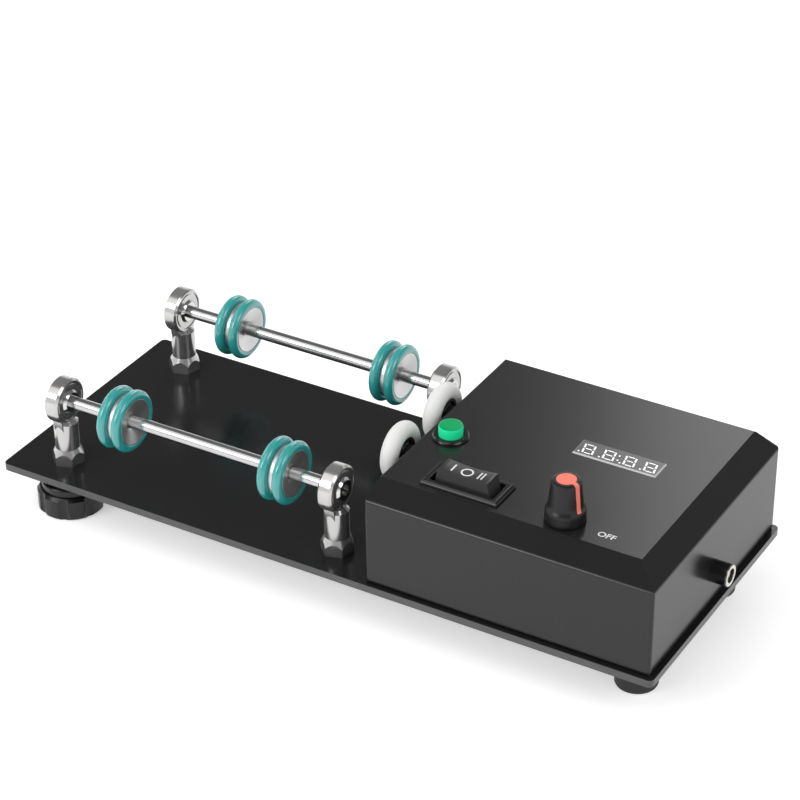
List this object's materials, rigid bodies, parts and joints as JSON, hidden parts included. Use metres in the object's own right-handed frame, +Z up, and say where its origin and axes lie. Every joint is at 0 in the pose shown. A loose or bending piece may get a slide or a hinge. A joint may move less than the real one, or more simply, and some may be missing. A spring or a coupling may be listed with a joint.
{
  "type": "film tank rotation base",
  "caption": "Flat base with two free idler shafts on rod ends and two driven wheels on a control case, which turns a film tank lying on its rollers.",
  "frame": {"origin": "on the floor, under the middle of the part's box", "axes": "+X along the plate from the levelling knobs towards the power socket, +Y from the front idler to the rear one, +Z up"},
  "size_m": [0.28, 0.108, 0.0757],
  "materials": {
    "black_plate": "satin",
    "case_plastic": "satin",
    "fastener_steel": "satin",
    "rod_end_steel": "polished",
    "ball_steel": "polished",
    "shaft_steel": "polished",
    "hub_aluminium": "satin",
    "teal_rubber": "satin",
    "white_rubber": "matte",
    "black_plastic": "satin",
    "gloss_black": "gloss",
    "green_cap": "gloss",
    "red_marker": "satin",
    "smoked_window": "gloss",
    "cream_plastic": "satin",
    "gear_brass": "satin",
    "motor_can": "satin",
    "bracket_metal": "satin",
    "circuit_board": "satin",
    "foot_rubber": "matte",
    "plated_contact": "polished"
  },
  "bodies": {
    "base": {"base_plate": "black_plate", "control_case": "case_plastic", "underside_screws": "fastener_steel", "front_rubber_foot": "foot_rubber", "rear_rubber_foot": "foot_rubber", "rubber_foot_screws": "fastener_steel", "left_rod_end_studs": "fastener_steel", "stud_jam_nuts": "fastener_steel", "right_rod_end_screws": "fastener_steel", "drive_bushes": "gear_brass", "gear_motor": "motor_can", "motor_bracket": "bracket_metal", "motor_screws": "fastener_steel", "start_button_housing": "gloss_black", "start_button_nut": "black_plastic", "start_button_spring": "fastener_steel", "rocker_housing": "gloss_black", "speed_potentiometer": "motor_can", "potentiometer_nut": "gear_brass", "display_window": "smoked_window", "display_module": "circuit_board", "dc_socket": "gloss_black", "dc_socket_contact": "plated_contact", "board_standoffs": "cream_plastic", "controller_board": "circuit_board", "front_left_rod_end": "rod_end_steel", "front_right_rod_end": "rod_end_steel", "rear_left_rod_end": "rod_end_steel", "rear_right_rod_end": "rod_end_steel"},
    "motor_output": {"motor_gear": "gear_brass", "motor_output_shaft": "shaft_steel"},
    "start_button": {"start_button_cap": "green_cap"},
    "rocker": {"rocker_paddle": "gloss_black"},
    "speed_control": {"speed_knob": "black_plastic", "knob_pointer": "red_marker", "potentiometer_shaft": "bracket_metal"},
    "front_idler": {"front_idler_shaft": "shaft_steel", "front_left_ball": "ball_steel", "front_left_hub": "hub_aluminium", "front_left_rings": "teal_rubber", "front_right_ball": "ball_steel", "front_right_hub": "hub_aluminium", "front_right_rings": "teal_rubber"},
    "front_drive": {"front_drive_tyre": "white_rubber", "front_drive_hub": "black_plastic", "front_drive_shaft": "shaft_steel", "front_drive_gear": "cream_plastic"},
    "front_foot": {"front_levelling_knob": "black_plastic"},
    "rear_idler": {"rear_idler_shaft": "shaft_steel", "rear_left_ball": "ball_steel", "rear_left_hub": "hub_aluminium", "rear_left_rings": "teal_rubber", "rear_right_ball": "ball_steel", "rear_right_hub": "hub_aluminium", "rear_right_rings": "teal_rubber"},
    "rear_drive": {"rear_drive_tyre": "white_rubber", "rear_drive_hub": "black_plastic", "rear_drive_shaft": "shaft_steel", "rear_drive_gear": "cream_plastic"},
    "rear_foot": {"rear_levelling_knob": "black_plastic"}
  },
  "joints": [
    {"name": "front_idler_spin", "type": "hinge", "parent": "base", "child": "front_idler", "pos_m": [-0.11945, -0.0395, 0.047], "axis": [1, 0, 0], "continuous": true},
    {"name": "rear_idler_spin", "type": "hinge", "parent": "base", "child": "rear_idler", "pos_m": [-0.11945, 0.0395, 0.047], "axis": [1, 0, 0], "continuous": true},
    {"name": "motor_output_spin", "type": "hinge", "parent": "base", "child": "motor_output", "pos_m": [0.03785, 0, 0.03878], "axis": [1, 0, 0], "continuous": true},
    {"name": "front_drive_spin", "type": "hinge", "parent": "base", "child": "front_drive", "pos_m": [0.01385, -0.01545, 0.053], "axis": [1, 0, 0], "continuous": true},
    {"name": "rear_drive_spin", "type": "hinge", "parent": "base", "child": "rear_drive", "pos_m": [0.01385, 0.01545, 0.053], "axis": [1, 0, 0], "continuous": true},
    {"name": "start_button_press", "type": "slide", "parent": "base", "child": "start_button", "axis": [0, 0, -1], "range_m": [0, 0.0015], "stiffness_N_per_m": 800, "springref_m": -0.001, "deforming": ["start_button_spring"]},
    {"name": "rocker_tilt", "type": "hinge", "parent": "base", "child": "rocker", "pos_m": [0.05045, -0.03127, 0.0575], "axis": [0, 1, 0], "range_deg": [-12, 12]},
    {"name": "speed_knob_turn", "type": "hinge", "parent": "base", "child": "speed_control", "pos_m": [0.08975, -0.03268, 0.059], "axis": [0, 0, 1], "range_deg": [0, 280]},
    {"name": "front_foot_level", "type": "slide", "parent": "base", "child": "front_foot", "axis": [0, 0, -1], "range_m": [-0.002, 0.004]},
    {"name": "rear_foot_level", "type": "slide", "parent": "base", "child": "rear_foot", "axis": [0, 0, -1], "range_m": [-0.002, 0.004]}
  ],
  "couplings": [
    {"joint": "front_drive_spin", "follows": "motor_output_spin", "ratio": -4},
    {"joint": "rear_drive_spin", "follows": "motor_output_spin", "ratio": -4}
  ]
}
